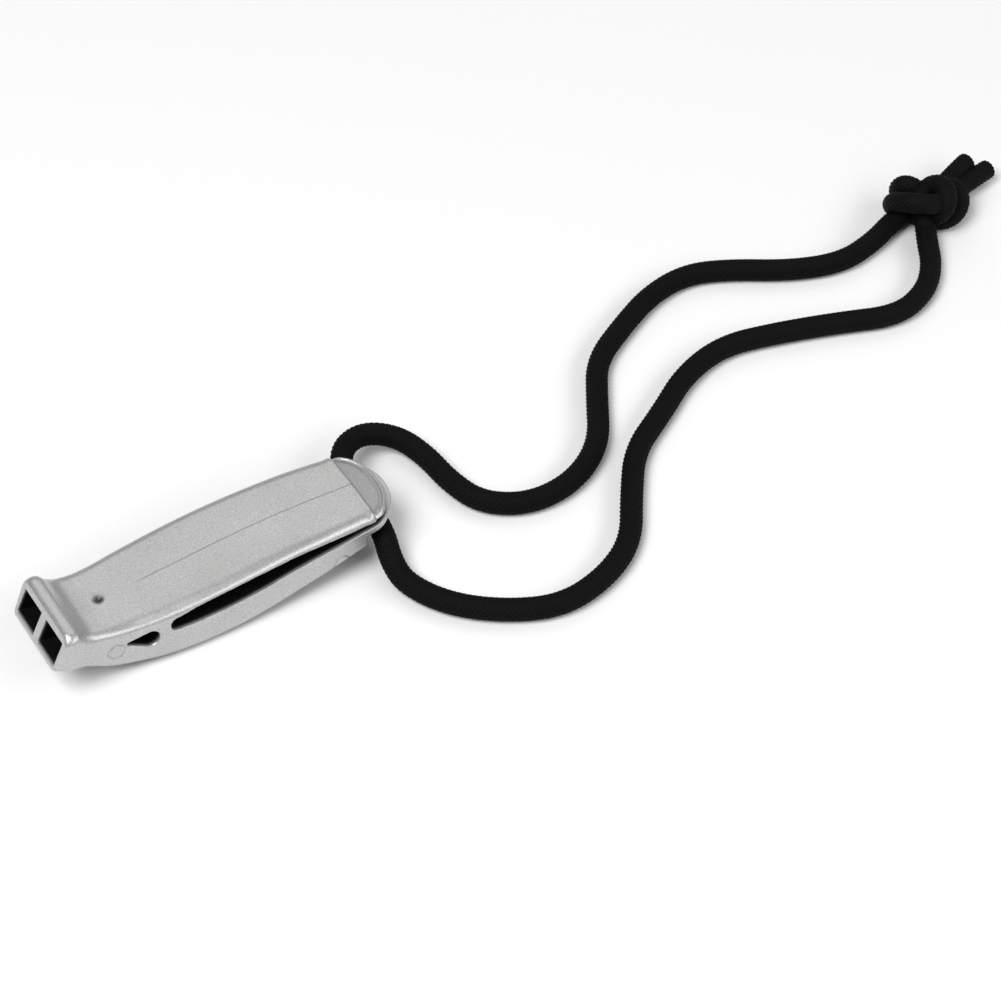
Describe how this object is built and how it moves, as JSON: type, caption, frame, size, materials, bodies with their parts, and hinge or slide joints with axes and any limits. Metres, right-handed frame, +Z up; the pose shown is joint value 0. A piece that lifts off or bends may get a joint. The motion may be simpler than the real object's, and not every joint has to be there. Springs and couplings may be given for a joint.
{
  "type": "safety whistle",
  "caption": "Flat pealess twin-chamber whistle with a sprung belt clip on its back and a knotted braided cord loop through its tail lug.",
  "frame": {"origin": "on the surface that the whistle rests on, under the middle of the whistle's length and width", "axes": "+X from the mouth to the tail, +Y to the whistle's left seen from the mouth looking to the tail, +Z up from the belly to the belt clip"},
  "size_m": [0.1784, 0.0502, 0.0123],
  "materials": {
    "body_plastic": "silver-pigmented moulded plastic, satin, with a fine metallic grain",
    "cord": "black round braided polyester cord"
  },
  "bodies": {
    "body": {"whistle_body": "body_plastic", "base_cover": "body_plastic", "windway_block_right": "body_plastic", "windway_block_left": "body_plastic", "cord_far": "cord", "cord_near": "cord", "knot": "cord", "cord_tail_upper": "cord", "cord_tail_lower": "cord"},
    "clip": {"belt_clip": "body_plastic"}
  },
  "joints": [
    {"name": "clip_flex", "type": "hinge", "parent": "body", "child": "clip", "pos_m": [-0.0123, 0, 0.00894], "axis": [0, -1, 0], "range_deg": [0, 8], "stiffness_Nm_per_rad": 1.4}
  ]
}
